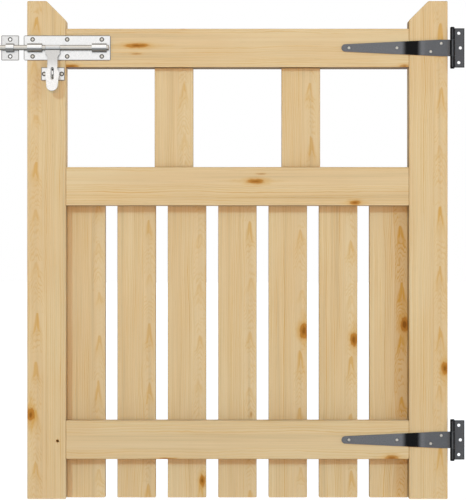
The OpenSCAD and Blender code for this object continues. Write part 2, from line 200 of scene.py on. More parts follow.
class MetalSettings(PropertyGroup):
    """Colours and finish of the ironwork."""

    strap: colour("Hinge Black", "Satin black coating of the straps", (0.135, 0.125, 0.125))
    # painted reflection and shade: the next colour is drawn as a band across each strap and on the
    # coating's dark side faces, knuckle flanks and rims; it is also the pins' own black
    band: colour("Hinge Band", "Glossy darker band across each strap", (0.001, 0.001, 0.0015))
    leaf: colour("Butt Black", "Coating of the butt plates", (0.082, 0.075, 0.075))
    zinc: colour("Zinc", "Bright zinc plate", (0.86, 0.87, 0.885))
    # painted shade: the next colour is drawn underneath the zinc, along top lines, round plate rims,
    # on countersinks and on the hasp's upper part; it is also the colour of the specks and of a
    # cloudy darkening
    zinc_shade_and_specks: colour("Dull Zinc", "Duller zinc on undersides and edges", (0.115, 0.108, 0.092))
    zinc_rough: share("Zinc Roughness", "Roughness of the zinc plate", 0.30)
    black_rough: share("Coating Roughness", "Roughness of the satin coating", 0.42)


class FixingSettings(PropertyGroup):
    """Sizes of screws, nails and the pin hole."""

    strap_head: length("Strap Screw", "Diameter of the hinge screws' heads", 0.0054)
    strap_rise: length("Strap Screw Rise", "Height of the hinge screws' heads", 0.0015)
    plate_head: length("Plate Screw", "Diameter of the padbolt screws' heads", 0.0054)
    plate_rise: length("Plate Screw Rise", "Height of the padbolt screws' heads", 0.0011)
    nail_head: length("Nail", "Diameter of the nail heads", 0.0042)
    nail_sink: length("Nail Sink", "How far the nail heads are punched below the wood", 0.0004)
    pin_hole: length("Pin Hole", "Diameter of the open pin hole in the latch stile", 0.0052)
    seed: IntProperty(name="Seed", description="Turns of the screws' slots", default=7, min=0)


class StageSettings(PropertyGroup):
    """Camera, floor and light."""

    distance: length("Camera Distance", "From the camera to the gate's face", 4.0)
    view_height: length("View Height", "Height of the view at the gate's face", 0.9035)
    clearance: length("Ground Clearance", "From the floor to the gate's foot", 0.05)
    sky: colour("Sky", "What the metal mirrors in front and behind", (1.07, 1.035, 0.99), 2.0)
    side_shade: share("Side Shade", "How much dimmer the mirrored sky is at both sides", 0.80)
    top_light: share("Top Light", "How much brighter the mirrored sky is above", 0.40)
    floor_glow: share("Floor Glow", "Light that the floor gives off by itself", 0.60)
    room: strength("Room", "Soft light from the whole ceiling", 1.25)
    front: strength("Front", "Warm light along the view, which reaches every recess", 1.40)
    key: strength("Key", "Crisp light from the upper left", 1.38)
    fill: strength("Fill", "Wide light from the right", 1.10)
    back: strength("Back", "Light on the far side of the gate", 1.8)
    warm: colour("Warm Tint", "Colour of the front light", (1.0, 0.67, 0.33))
    cool: colour("Cool Tint", "Colour of the key and the fill", (0.38, 0.72, 1.0))


# ------------------------ node trees

class Sheet:
    """A node tree being filled, with one short call for each kind of node."""

    def __init__(self, tree):
        self.tree = tree

    def add(self, kind, values=(), **settings):
        """A new node with its settings made and its inputs filled."""
        node = self.tree.nodes.new(kind)
        for key, value in settings.items():
            setattr(node, key, value)
        self.fill(node.inputs, values)
        return node

    def fill(self, sockets, values):
        """Links or sets sockets, in order from a tuple or by label from a dict."""
        pairs = values.items() if isinstance(values, dict) else enumerate(values)
        for key, value in pairs:
            if isinstance(value, bpy.types.NodeSocket):
                self.tree.links.new(value, sockets[key])
            else:
                sockets[key].default_value = value

    def math(self, operation, *values, clamp=False):
        return self.add("ShaderNodeMath", values, operation=operation, use_clamp=clamp).outputs[0]

    def chain(self, operation, values, clamp):
        result = values[0]
        for value in values[1:]:
            result = self.math(operation, result, value, clamp=clamp)
        return result

    def plus(self, *values, clamp=False):
        return self.chain("ADD", values, clamp)

    def times(self, *values, clamp=False):
        return self.chain("MULTIPLY", values, clamp)

    def minus(self, a, b):
        return self.math("SUBTRACT", a, b)

    def squares(self, a, b):
        """The sum of two squares."""
        return self.plus(self.times(a, a), self.times(b, b))

    def spread(self, value, low, high, start=0.0, end=1.0):
        """Smooth step of a value between low and high."""
        return self.add("ShaderNodeMapRange", (value, low, high, start, end),
                        interpolation_type="SMOOTHSTEP").outputs[0]

    def fade(self, value, low, high, start=1.0):
        """Smooth step down to nought between low and high."""
        return self.spread(value, low, high, start, 0.0)

    def hill(self, value, foot, top, edge, end):
        """Up from foot to top, and down again from edge to end."""
        return self.times(self.spread(value, foot, top), self.fade(value, edge, end))

    def split(self, vector):
        return self.add("ShaderNodeSeparateXYZ", (vector,)).outputs[:3]

    def join(self, x, y, z):
        return self.add("ShaderNodeCombineXYZ", (x, y, z)).outputs[0]

    def vector(self, operation, *values):
        return self.add("ShaderNodeVectorMath", values, operation=operation).outputs[0]

    def noise(self, vector, stretch, detail=2.0, roughness=0.5):
        """Noise from nought to one, in a vector multiplied by stretch."""
        values = {"Vector": self.vector("MULTIPLY", vector, stretch), "Scale": 1.0,
                  "Detail": detail, "Roughness": roughness}
        return self.add("ShaderNodeTexNoise", values).outputs["Fac"]

    def line_noise(self, value, detail=1.0):
        """Noise along a single number."""
        return self.add("ShaderNodeTexNoise", {"W": value, "Scale": 1.0, "Detail": detail},
                        noise_dimensions="1D").outputs["Fac"]

    def centred(self, value, reach):
        """Noise of nought to one made to run from minus reach to plus reach."""
        return self.times(self.minus(value, 0.5), 2.0 * reach)

    def mix(self, factor, a, b, blend="MIX"):
        return self.add("ShaderNodeMix", {0: factor, 6: a, 7: b},
                        data_type="RGBA", blend_type=blend).outputs[2]

    def bump(self, height, strength, distance):
        values = {"Height": height, "Strength": strength, "Distance": distance}
        return self.add("ShaderNodeBump", values).outputs[0]

    def placed(self, centre=(0.0, 0.0, 0.0), turn=(0.0, 0.0, 0.0)):
        """Object coordinates in millimetres from a centre, turned to bring Z along the grain."""
        values = {"Vector": self.add("ShaderNodeTexCoord").outputs["Object"],
                  "Location": centre, "Rotation": turn, "Scale": (MM, MM, MM)}
        return self.add("ShaderNodeMapping", values, vector_type="TEXTURE").outputs[0]


def opaque(value):
    """A colour setting with its alpha."""
    return (*value, 1.0)


def new_material(name):
    """A new material, the sheet that fills it, and its shader."""
    material = bpy.data.materials.new(name)
    material.use_nodes = True
    return material, Sheet(material.node_tree), material.node_tree.nodes["Principled BSDF"]


def new_group(name, inputs, outputs):
    """An empty node group with its sockets, and the sheet that fills it."""
    tree = bpy.data.node_groups.new(name, "ShaderNodeTree")
    for way, labels in (("INPUT", inputs), ("OUTPUT", outputs)):
        for label in labels:
            kind = "NodeSocket" + SOCKET_KINDS.get(label, "Float")
            tree.interface.new_socket(label, in_out=way, socket_type=kind)
    sheet = Sheet(tree)
    return sheet, sheet.add("NodeGroupInput").outputs, sheet.add("NodeGroupOutput").inputs


# ------------------------ pine

# Z runs along the grain, so the noises of rings and stripes have a small last factor.

def knot_group():
    """One knot: how far it bends the rings round it, and how much of it shows."""
    sheet, given, made = new_group("Knot", ("Place", *KNOT_SHAPE), KNOT_MARKS)
    x, _, z = sheet.split(given["Place"])
    wobble = sheet.centred(sheet.noise(given["Place"], (0.16, 0.05, 0.08)), 0.45)
    across = sheet.math("DIVIDE", sheet.minus(x, given["Across"]), given["Half Width"])
    along = sheet.math("DIVIDE", sheet.minus(z, given["Along"]), given["Half Length"])
    square = sheet.squares(across, along)
    away = sheet.plus(sheet.math("SQRT", square), wobble)
    swell = sheet.math("DIVIDE", given["Swell"], sheet.plus(sheet.times(square, 0.45), 1.0))
    trail = sheet.math("SQRT", sheet.squares(across, sheet.times(along, 0.28)))
    trail = sheet.fade(sheet.plus(trail, wobble), 0.2, 1.3, 0.7)
    halo = sheet.math("MAXIMUM", sheet.fade(away, 0.9, 2.4), trail)
    sheet.fill(made, {
        "Swell": swell, "Wood": sheet.fade(away, 0.75, 1.25), "Pip": sheet.fade(away, 0.1, 0.75),
        "Halo": halo})
    return sheet.tree


def flames(sheet, given, place, side, bend, cell):
    """Flat rings over the heart: pointed tongues, one in each cell, with thin arches below them."""
    lot = sheet.plus(sheet.times(sheet.math("FLOOR", cell), 7.31), given["Seed"])
    lot = sheet.line_noise(lot, detail=0.0)
    below = sheet.times(sheet.minus(1.0, sheet.math("FRACT", cell)), given["Step"])
    below = sheet.plus(below, sheet.centred(sheet.noise(place, (0.13, 0.13, 0.03)), 19.0))
    reach = sheet.math("DIVIDE", below, sheet.spread(lot, 0.35, 0.65, *FLAME_LENGTH))
    reach = sheet.math("MAXIMUM", reach, 0.0001)
    apart = sheet.plus(side, sheet.times(bend, 0.8))
    apart = sheet.times(sheet.math("ABSOLUTE", apart), 0.74)

    half = sheet.times(sheet.math("POWER", reach, 0.5), FLAME_HALF)
    tongue = sheet.fade(apart, sheet.times(half, 0.30), sheet.times(half, 1.15))
    tongue = sheet.times(tongue, sheet.fade(reach, 0.45, 1.10))
    inner = sheet.times(sheet.math("MAXIMUM", sheet.minus(reach, 0.28), 0.01), HOLLOW_HALF)
    hollow = sheet.fade(apart, sheet.times(inner, 0.5), sheet.times(inner, 1.3), 0.62)
    tongue = sheet.times(tongue, sheet.minus(1.0, hollow))

    coil = sheet.minus(below, sheet.times(apart, apart, ARCH_BOW))
    coil = sheet.math("FRACT", sheet.math("DIVIDE", coil, ARCH_STEP))
    broken = sheet.spread(sheet.noise(place, (0.05, 0.05, 0.022)), 0.38, 0.60, 0.15, 1.0)
    arch = sheet.times(sheet.hill(coil, 0.35, 0.80, 0.82, 1.0), sheet.spread(reach, 0.30, 0.70),
                       broken, sheet.fade(apart, 6.0, 12.0))
    tongue = sheet.times(tongue, sheet.spread(lot, 0.35, 0.62, 0.34, 0.66))
    return sheet.plus(tongue, sheet.times(arch, 0.32))


def pine_colour(sheet, pine, given, place, late, tone, fibre):
    """Early and late wood with stripes and flecks, then knots and end grain, and painted shade on
    the sides, darker and warmer.
    """
    patch = sheet.spread(sheet.noise(place, (0.013, 0.013, 0.005)), 0.35, 0.65)
    stripe = sheet.noise(place, (0.11, 0.11, 0.0018), roughness=0.6)
    patch = sheet.plus(
        sheet.times(patch, 0.5), sheet.spread(stripe, 0.36, 0.62, 0.0, 0.7), clamp=True)
    body = sheet.mix(patch, opaque(pine.early), opaque(pine.warm))
    body = sheet.mix(tone, body, opaque(pine.late))
    body = sheet.mix(sheet.times(given["Halo"], 0.58), body, opaque(pine.late))
    body = sheet.mix(given["Wood"], body, opaque(pine.knot))
    body = sheet.mix(given["Pip"], body, opaque(pine.pip))
    end = sheet.times(given["End"], sheet.plus(0.35, sheet.times(late, 0.4)))
    body = sheet.mix(end, body, opaque(pine.late))

    flecks = sheet.spread(sheet.noise(place, (1.6, 1.6, 0.045), detail=1.0), 0.68, 0.76)
    shade = sheet.plus(0.88, sheet.times(fibre, 0.24))
    shade = sheet.minus(shade, sheet.times(flecks, 0.10))
    shade = sheet.minus(shade, sheet.spread(stripe, 0.56, 0.74, 0.0, 0.09))
    # painted shade: Dim draws the sides and undersides darker, and warmer by taking more away from
    # green and blue
    shade = sheet.times(shade, sheet.minus(1.0, given["Dim"]))
    green = sheet.times(shade, sheet.minus(1.0, sheet.times(given["Dim"], 0.14)))
    blue = sheet.times(shade, sheet.minus(1.0, sheet.times(given["Dim"], 0.55)))
    return sheet.mix(1.0, body, sheet.join(shade, green, blue), "MULTIPLY")


def pine_group(pine):
    """Sawn pine: rings round a heart that lies behind the board, with knots let in."""
    sheet, given, made = new_group(
        "Pine",
        ("Place", "Heart Across", "Heart Depth", "Tip", "Step", "Seed", *KNOT_MARKS, "End", "Bold",
         "Dim"),
        ("Colour", "Roughness", "Height"))
    x, y, z = sheet.split(given["Place"])
    seed = given["Seed"]

    def drift(scale, offset, reach):
        """A slow wander along the grain."""
        along = sheet.plus(sheet.times(z, scale), sheet.plus(seed, offset))
        return sheet.centred(sheet.line_noise(along), reach)

    place = sheet.vector("ADD", given["Place"], sheet.join(sheet.times(seed, 91.7), seed, 0.0))
    side = sheet.plus(sheet.minus(x, given["Heart Across"]), drift(0.005, 3.1, 5.0))
    deep = sheet.plus(sheet.minus(y, given["Heart Depth"]),
                      drift(0.0035, 11.7, 3.0), drift(0.045, 5.3, 0.8))
    warp = sheet.centred(sheet.noise(place, (0.07, 0.07, 0.011)), 1.2)
    curl = sheet.centred(sheet.noise(place, (0.25, 0.25, 0.035), detail=3.0), 0.9)
    bend = sheet.plus(warp, curl)

    radius = sheet.math("SQRT", sheet.squares(sheet.times(side, RING_SQUEEZE), deep))
    radius = sheet.minus(sheet.plus(radius, bend), given["Swell"])
    uneven = sheet.centred(sheet.line_noise(sheet.times(radius, 0.11)), 0.9)
    count = sheet.plus(sheet.math("DIVIDE", radius, pine.ring * TO_MM), uneven)
    late = sheet.hill(sheet.math("FRACT", count), 0.30, 0.90, 0.92, 1.0)
    year = sheet.plus(sheet.times(sheet.math("FLOOR", count), 5.37), seed)
    strong = sheet.spread(sheet.line_noise(year), 0.35, 0.65, 0.40, 1.0)
    band = sheet.spread(sheet.noise(place, (0.04, 0.04, 0.006)), 0.35, 0.65, 0.28, 0.70)
    flat = sheet.fade(sheet.math("ABSOLUTE", side), *FLAME_ZONE)
    tone = sheet.times(
        sheet.times(late, strong), sheet.times(band, sheet.minus(1.0, flat)))

    cell = sheet.math("DIVIDE", sheet.minus(z, given["Tip"]), given["Step"])
    cell = sheet.plus(cell, drift(0.006, 2.2, 0.12))
    flame = flames(sheet, given, place, side, bend, cell)
    tone = sheet.plus(tone, sheet.times(flame, given["Bold"]))
    stain = sheet.times(flat, sheet.minus(given["Bold"], 1.0), 0.5)
    tone = sheet.plus(tone, stain, clamp=True)
    fibre = sheet.noise(place, (0.7, 0.7, 0.006), detail=3.0, roughness=0.6)
    tone = sheet.times(tone, sheet.spread(fibre, 0.30, 0.66, 0.72, 1.20), clamp=True)

    rough = sheet.plus(pine.rough, sheet.times(fibre, 0.12))
    rough = sheet.minus(rough, sheet.times(tone, 0.10))
    sheet.fill(made, {
        "Colour": pine_colour(sheet, pine, given, place, late, tone, fibre),
        "Roughness": sheet.minus(rough, sheet.times(given["Wood"], 0.16)),
        "Height": sheet.plus(sheet.times(fibre, 0.6), sheet.times(late, 0.5))})
    return sheet.tree


def finish_board(pine, piece, node, box, upright, heart, tip, knots, seed, bold=1.0, inward=0.0):
    """Gives a board its own pine, in millimetres: heart is (across, behind the front), tip is
    (place of one flame, step to the next) and knots are (x, z, half width, half length, swell,
    strength), with places in the gate's own frame; inward is the way that a stile's inner side
    looks."""
    low, high = box
    material, sheet, shader = new_material(piece.name + "_pine")
    middle = (low + high) / 2
    place = sheet.placed(tuple(middle), (0.0, 0.0 if upright else QUARTER_TURN, 0.0))

    marks = dict.fromkeys(KNOT_MARKS, 0.0)
    for x, z, *shape, dark in knots:
        spot = Vector((x * MM, 0.0, z * MM)) - middle
        across, along = (spot.x, spot.z) if upright else (-spot.z, spot.x)
        knot = sheet.add(
            "ShaderNodeGroup", (place, across * TO_MM, along * TO_MM, *shape),
            node_tree=bpy.data.node_groups.get("Knot") or knot_group()).outputs
        marks["Swell"] = sheet.plus(knot["Swell"], marks["Swell"])
        for label in KNOT_MARKS[1:]:
            marks[label] = sheet.plus(sheet.times(knot[label], dark), marks[label], clamp=True)

    normal = sheet.split(sheet.add("ShaderNodeNewGeometry").outputs["Normal"])
    end = sheet.spread(sheet.math("ABSOLUTE", normal[2] if upright else normal[0]), 0.35, 0.85)
    # painted shade: the faces drawn darker are the rails' undersides, a stile's inner side, or both
    # sides of a slat or muntin
    if not upright:
        side, darker = sheet.times(normal[2], -1.0), pine.underside_shade
    elif inward:
        side, darker = sheet.times(normal[0], inward), pine.shaded
        if inward > 0.0:
            darker = pine.latch_shaded
    else:
        side, darker = sheet.math("ABSOLUTE", normal[0]), pine.shaded

    half_depth = (high.y - low.y) / 2 * TO_MM
    grain = sheet.add("ShaderNodeGroup", {
        "Place": place, "Heart Across": heart[0], "Heart Depth": heart[1] - half_depth,
        "Tip": tip[0] - (middle.z if upright else middle.x) * TO_MM, "Step": tip[1],
        "Seed": seed, "End": end, "Bold": bold,
        "Dim": sheet.spread(side, 0.55, 0.90, 0.0, darker), **marks,
    }, node_tree=bpy.data.node_groups.get("Pine") or pine_group(pine)).outputs
    sheet.fill(shader.inputs, {
        "Base Color": grain["Colour"], "Roughness": grain["Roughness"],
        "Normal": sheet.bump(grain["Height"], 0.25, 0.0002), "Specular IOR Level": 0.15})
    hand_in(piece, "leaf", material, [node])


# ------------------------ metal finishes, with painted shade and reflections

def rim(sheet, place, box, width):
    """One along the outline of a plate's box as seen from the front, nought inside it, in mm; the
    mask of a painted dark outline.
    """
    low, high = box
    x, _, z = sheet.split(place)
    gaps = []
    for value, first, last in ((x, low.x, high.x), (z, low.z, high.z)):
        centre, half = (first + last) / 2 * TO_MM, (last - first) / 2 * TO_MM
        offset = sheet.math("ABSOLUTE", sheet.minus(value, centre))
        gaps.append(sheet.minus(half, offset))
    return sheet.fade(sheet.math("MINIMUM", *gaps), 0.4, width)


def zinc_material(name, metal, box=None, over=None, under=(0.25, 0.8), warm=0.0, plain=None,
                  cloud_darkening=0.0):
    """Bright zinc with painted shade: darker underneath, along faces that look up where over is
    given, round a plate's rim and on its sloping faces, and on the hasp above plain; below plain,
    darker specks, and a cloudy darkening all over.
    """
    material, sheet, shader = new_material(name)
    place = sheet.placed()
    geometry = sheet.add("ShaderNodeNewGeometry").outputs
    upward = sheet.split(geometry["Normal"])[2]
    cloud = sheet.noise(place, (0.35, 0.35, 0.35), detail=3.0)
    grain = sheet.noise(place, (1.1, 1.1, 1.1))
    zinc_shade_and_specks = opaque(metal.zinc_shade_and_specks)
    bright = (metal.zinc[0], metal.zinc[1] * (1 - warm * 0.4), metal.zinc[2] * (1 - warm))
    # a cloudy darkening all over
    tint = sheet.mix(sheet.spread(cloud, 0.3, 0.75, cloud_darkening, cloud_darkening + 0.08), opaque(bright), zinc_shade_and_specks)
    # on the hasp: darker specks below plain, painted shade above it
    if plain is not None:
        height = sheet.split(place)[2]
        low_part = sheet.fade(height, plain * TO_MM - 20.0, plain * TO_MM + 8.0)
        specks = sheet.times(low_part, sheet.spread(grain, 0.44, 0.62, 0.02, 0.22))
        tint = sheet.mix(specks, tint, zinc_shade_and_specks)
        tint = sheet.mix(sheet.times(sheet.minus(1.0, low_part), 0.34), tint, zinc_shade_and_specks)
    # painted shade: a dark line along faces that look up, where over is given
    if over:
        tint = sheet.mix(sheet.spread(upward, *over, 0.0, 0.80), tint, zinc_shade_and_specks)
    # painted shade underneath
    down = sheet.times(upward, -1.0)
    tint = sheet.mix(sheet.spread(down, *under, 0.0, 0.80), tint, zinc_shade_and_specks)
    # painted shade: a dark outline round a plate's rim, and on its sloping faces such as the
    # countersinks
    if box:
        edge = sheet.times(rim(sheet, place, box, 1.9), 0.85)
        forward = sheet.math("ABSOLUTE", sheet.split(geometry["True Normal"])[1])
        slope = sheet.fade(forward, 0.93, 0.99, 0.95)
        tint = sheet.mix(sheet.math("MAXIMUM", edge, slope), tint, zinc_shade_and_specks)
    sheet.fill(shader.inputs, {
        "Base Color": tint, "Roughness": sheet.plus(metal.zinc_rough, sheet.centred(cloud, 0.10)),
        "Normal": sheet.bump(grain, 0.10, 0.0001), "Metallic": 1.0,
        "Specular Tint": (0.3, 0.3, 0.3, 1.0)})
    return material


def black_material(name, metal, base, band=None, knuckle=None, box=None):
    """Satin black coating with fine orange peel, glossier where it is darker: painted shade on the
    side faces, knuckle flanks and rim, and a painted reflection, a dark band across the strap, with
    a darker part beyond it.
    """
    material, sheet, shader = new_material(name)
    place = sheet.placed()
    x = sheet.split(place)[0]
    normal = sheet.split(sheet.add("ShaderNodeNewGeometry").outputs["Normal"])
    peel = sheet.noise(place, (0.55, 0.55, 0.55), detail=3.0)
    cloud = sheet.noise(place, (0.12, 0.12, 0.12))
    shade = sheet.plus(0.6, sheet.times(peel, 0.8))
    tint = sheet.mix(1.0, opaque(base), sheet.join(shade, shade, shade), "MULTIPLY")
    # painted shade on the side faces
    dark = sheet.fade(sheet.math("ABSOLUTE", normal[1]), 0.75, 0.97, 0.8)
    # painted reflection: a dark glossy band across the strap, and a darker part beyond it
    if band:
        beyond = sheet.spread(x, band[3], band[3] + 8.0, 0.0, 0.22)
        dark = sheet.math("MAXIMUM", sheet.math("MAXIMUM", dark, sheet.hill(x, *band)), beyond)
    # painted shade on the knuckle's flanks
    if knuckle:
        away = sheet.math("ABSOLUTE", sheet.minus(x, knuckle))
        rolled = sheet.fade(away, KNUCKLE_HALF, KNUCKLE_HALF + 1.2)
        flank = sheet.spread(sheet.math("ABSOLUTE", normal[0]), 0.15, 0.55, 0.45, 1.0)
        dark = sheet.math("MAXIMUM", dark, sheet.times(rolled, flank))
    # painted shade round the rim
    if box:
        dark = sheet.math("MAXIMUM", dark, rim(sheet, place, box, 2.0))
    rough = sheet.plus(metal.black_rough, sheet.centred(cloud, 0.08))
    sheet.fill(shader.inputs, {
        "Base Color": sheet.mix(dark, tint, opaque(metal.band)),
        "Roughness": sheet.minus(rough, sheet.times(dark, 0.16)),
        "Normal": sheet.bump(peel, 0.15, 0.0002), "Specular IOR Level": 0.12})
    return material


# ------------------------ modelling

def deselect():
    """Leaves nothing selected, so that an operator works on the new piece alone."""
    if bpy.context.mode != "OBJECT":
        bpy.ops.object.mode_set(mode="OBJECT")
    bpy.ops.object.select_all(action="DESELECT")


def only(piece):
    """Selects one piece and makes it active."""
    deselect()
    piece.select_set(True)
    bpy.context.view_layer.objects.active = piece


def settle(piece):
    """Moves a piece's place, turn and size into its mesh."""
    only(piece)
    bpy.ops.object.transform_apply(location=True, rotation=True, scale=True)


def begin(name):
    """Names the primitive that was just added and settles it."""
    piece = bpy.context.active_object
    piece.name = name
    piece.data.name = name
    settle(piece)
    return piece


def block(name, low, high):
    """A box between two corners, as a start for a piece."""
    deselect()
    bpy.ops.mesh.primitive_cube_add(size=1.0, location=(low + high) / 2, scale=high - low)
    return begin(name)


def rod_y(name, centre, radius, front, back, sides=20):
    """A round bar along Y, as a start or as a cutter."""
    deselect()
    bpy.ops.mesh.primitive_cylinder_add(
        vertices=sides, radius=radius, depth=back - front,
        location=(centre[0], (front + back) / 2, centre[1]), rotation=(QUARTER_TURN, 0.0, 0.0))
    return begin(name)


def edit(piece):
    """Opens a piece in edit mode with nothing selected."""
    only(piece)
    bpy.ops.object.mode_set(mode="EDIT")
    bpy.ops.mesh.select_all(action="DESELECT")


def pick_faces(piece, test):
    """In edit mode, selects only the faces for which test is true."""
    mesh = bmesh.from_edit_mesh(piece.data)
    bpy.ops.mesh.select_all(action="DESELECT")
    bpy.ops.mesh.select_mode(type="FACE")
    for face in mesh.faces:
        face.select_set(test(face))
    mesh.select_flush_mode()
    bmesh.update_edit_mesh(piece.data)


def cut_away(piece, point, normal):
    """Bisects a piece, drops what lies beyond the plane and closes the cut."""
    edit(piece)
    bpy.ops.mesh.select_all(action="SELECT")
    bpy.ops.mesh.bisect(
        plane_co=point, plane_no=normal, use_fill=True, clear_outer=True, clear_inner=False)
    bpy.ops.object.mode_set(mode="OBJECT")


def apply_modifier(piece, kind, **settings):
    """Adds a modifier, sets it and applies it."""
    only(piece)
    modifier = piece.modifiers.new(kind.title(), kind)
    for key, value in settings.items():
        setattr(modifier, key, value)
    bpy.ops.object.modifier_apply(modifier=modifier.name)


def ease(piece, width, segments=3, angle=30.0):
    """Rounds a piece's sharp edges and shades it smooth across them."""
    apply_modifier(
        piece, "BEVEL", width=width, segments=segments, limit_method="ANGLE",
        angle_limit=math.radians(angle), harden_normals=False)
    only(piece)
    bpy.ops.object.shade_smooth_by_angle(angle=math.radians(32.0))
    apply_modifier(piece, "WEIGHTED_NORMAL", keep_sharp=True, weight=80)


def bore(piece, cutter):
    """Cuts one piece's shape out of another and removes the cutter."""
    apply_modifier(piece, "BOOLEAN", operation="DIFFERENCE", solver="EXACT", object=cutter)
    bpy.data.objects.remove(cutter)


def merge(pieces, name):
    """Joins pieces into the first."""
    deselect()
    for piece in pieces:
        piece.select_set(True)
    joined = pieces[0]
    bpy.context.view_layer.objects.active = joined
    bpy.ops.object.join()
    joined.name = name
    joined.data.name = name
    return joined


def copy_to(piece, places, name, turns=None):
    """Copies a piece made at the origin to each place, joins the copies and removes the first."""
    copies = []
    for place, turn in zip(places, turns or [0.0] * len(places)):
        only(piece)
        bpy.ops.object.duplicate(linked=False)
        twin = bpy.context.active_object
        twin.location = place
        twin.rotation_euler = (0.0, turn, 0.0)
        settle(twin)
        copies.append(twin)
    bpy.data.objects.remove(piece)
    return merge(copies, name)


def dressed(node, radius):
    """A merged copy of a metal node with its sharp edges rounded."""
    mesh = frame["nodes"][node].data.copy()
    piece = bpy.data.objects.new(node + "_metal", mesh)
    mesh.name = piece.name
    bpy.context.scene.collection.objects.link(piece)
    edit(piece)
    bpy.ops.mesh.select_all(action="SELECT")
    bpy.ops.mesh.remove_doubles(threshold=1e-6)
    bpy.ops.mesh.dissolve_limited(angle_limit=math.radians(0.4))
    bpy.ops.object.mode_set(mode="OBJECT")
    bpy.ops.mesh.customdata_custom_splitnormals_clear()
    ease(piece, radius, 2, 40.0)
    return piece


def hand_in(piece, body, material, replaced=(), second=None):
    """Gives a finished piece its finish and its body, and hides the nodes that it stands for."""
    marks = [face.material_index for face in piece.data.polygons]
    piece.data.materials.clear()
    piece.data.materials.append(material)
    if second:
        piece.data.materials.append(second)
        for face, mark in zip(piece.data.polygons, marks):
            face.material_index = mark
    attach(piece, body)
    if replaced:
        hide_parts(*replaced)


# ------------------------ operators

class GateOperator:
    """What every operator shares."""

    bl_options = {"REGISTER", "UNDO"}


def middle_of(node):
    """The middle of a node's box."""
    low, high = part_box(node)
    return (low + high) / 2


def shoulders():
    """The inner edges of the two stiles."""
    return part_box("latch_stile")[1].x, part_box("hinge_stile")[0].x


class GATE_OT_stiles(GateOperator, Operator):
    """Two upright stiles with their heads cut down towards the opening."""

    bl_idname = "gate.stiles"
    bl_label = "Stiles"

    def execute(self, context):
        pine, fixings = context.scene.gate_pine, context.scene.gate_fixings
        pin_knot = (PIN_HOLE[0] * TO_MM, PIN_HOLE[1] * TO_MM, 1.8, 1.9, 0.6, 1.2)
        rows = (
            ("latch_stile", 1.0, (-19.0, 24.0), (412.0, 90.3), 3.0,
             ((-769.5, 45.5, 6.2, 12.0, 5.0, 1.35), pin_knot)),
            ("hinge_stile", -1.0, (21.0, 24.0), (206.0, 108.0), 8.0,
             ((-21.5, 129.0, 5.6, 12.5, 5.0, 1.05),)),
        )
        for name, inward, heart, tip, seed, knots in rows:
            low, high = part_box(name)
            piece = block(name + "_board", low, high)
            inner = high.x if inward > 0.0 else low.x
            cut_away(piece, (inner, 0.0, high.z - pine.top_cut), (inward, 0.0, 1.0))
            ease(piece, pine.arris)
            if name == "latch_stile":
                bore(piece, rod_y("pin_hole", PIN_HOLE, fixings.pin_hole / 2,
                                  low.y - 0.001, low.y + PIN_DEPTH))
            finish_board(pine, piece, name, (low, high), upright=True, heart=heart, tip=tip,
                         knots=knots, seed=seed, bold=1.1, inward=inward)
        return {"FINISHED"}


class GATE_OT_rails(GateOperator, Operator):
    """Three rails between the stiles, the middle one rebated over the slats."""

    bl_idname = "gate.rails"
    bl_label = "Rails"

    def execute(self, context):
        pine = context.scene.gate_pine
        rows = (
            ("top_rail", (-14.0, 30.0), (
                (-577.0, 712.5, 4.0, 21.0, 3.0, 0.9), (-579.0, 697.5, 1.5, 9.0, 1.0, 0.5),
                (-697.0, 675.0, 3.5, 13.0, 1.5, 0.8), (-94.0, 675.0, 3.5, 9.0, 1.5, 0.6),
                (-494.0, 743.0, 1.5, 6.0, 1.0, 0.5))),
            ("middle_rail", (-16.0, 30.0), (
                (-362.5, 467.3, 4.2, 16.0, 3.5, 0.9), (-183.5, 428.5, 4.0, 9.5, 2.5, 0.85),
                (-353.0, 480.5, 1.6, 9.0, 1.2, 0.35))),
            ("bottom_rail", (4.0, 34.0), (
                (-117.0, -32.5, 4.4, 12.0, 2.5, 0.75), (-524.0, -34.0, 1.8, 16.0, 1.2, 0.7))),
        )
        for index, (name, heart, knots) in enumerate(rows):
            low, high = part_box(name)
            low.x, high.x = shoulders()
            foot = low.copy()
            if name == "middle_rail":
                foot.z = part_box(SLATS[0])[1].z
            piece = block(name + "_board", foot, high)
            if name == "middle_rail":
                self.rebate(piece, pine.lap, low.z - foot.z)
            ease(piece, pine.arris)
            finish_board(pine, piece, name, (low, high), upright=False, heart=heart,
                         tip=(-300.0, 120.0), knots=knots, seed=21.0 + index * 7.0, bold=0.45)
        return {"FINISHED"}

    @staticmethod
    def rebate(piece, lap, drop):
        """Draws the front of the rail down over the slats."""
        edit(piece)
        bpy.ops.mesh.select_all(action="SELECT")
        bpy.ops.mesh.bisect(plane_co=(0.0, lap, 0.0), plane_no=(0.0, 1.0, 0.0))
        pick_faces(piece, lambda f: f.normal.z < -0.9 and f.calc_center_median().y < lap)
        bpy.ops.mesh.extrude_region_move(TRANSFORM_OT_translate={"value": (0.0, 0.0, drop)})
        bpy.ops.object.mode_set(mode="OBJECT")


class GATE_OT_muntins(GateOperator, Operator):
    """Two short uprights between the top and middle rails."""

    bl_idname = "gate.muntins"
    bl_label = "Muntins"

    def execute(self, context):
        pine = context.scene.gate_pine
        for index, name in enumerate(("muntin_left", "muntin_right")):
            low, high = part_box(name)
            low.z, high.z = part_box("middle_rail")[1].z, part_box("top_rail")[0].z
            piece = block(name + "_board", low, high)
            ease(piece, pine.arris)
            finish_board(pine, piece, name, (low, high), upright=True, heart=(18.0, 22.0),
                         tip=(552.0, 90.0), knots=(), seed=41.0 + index * 9.0)
        return {"FINISHED"}


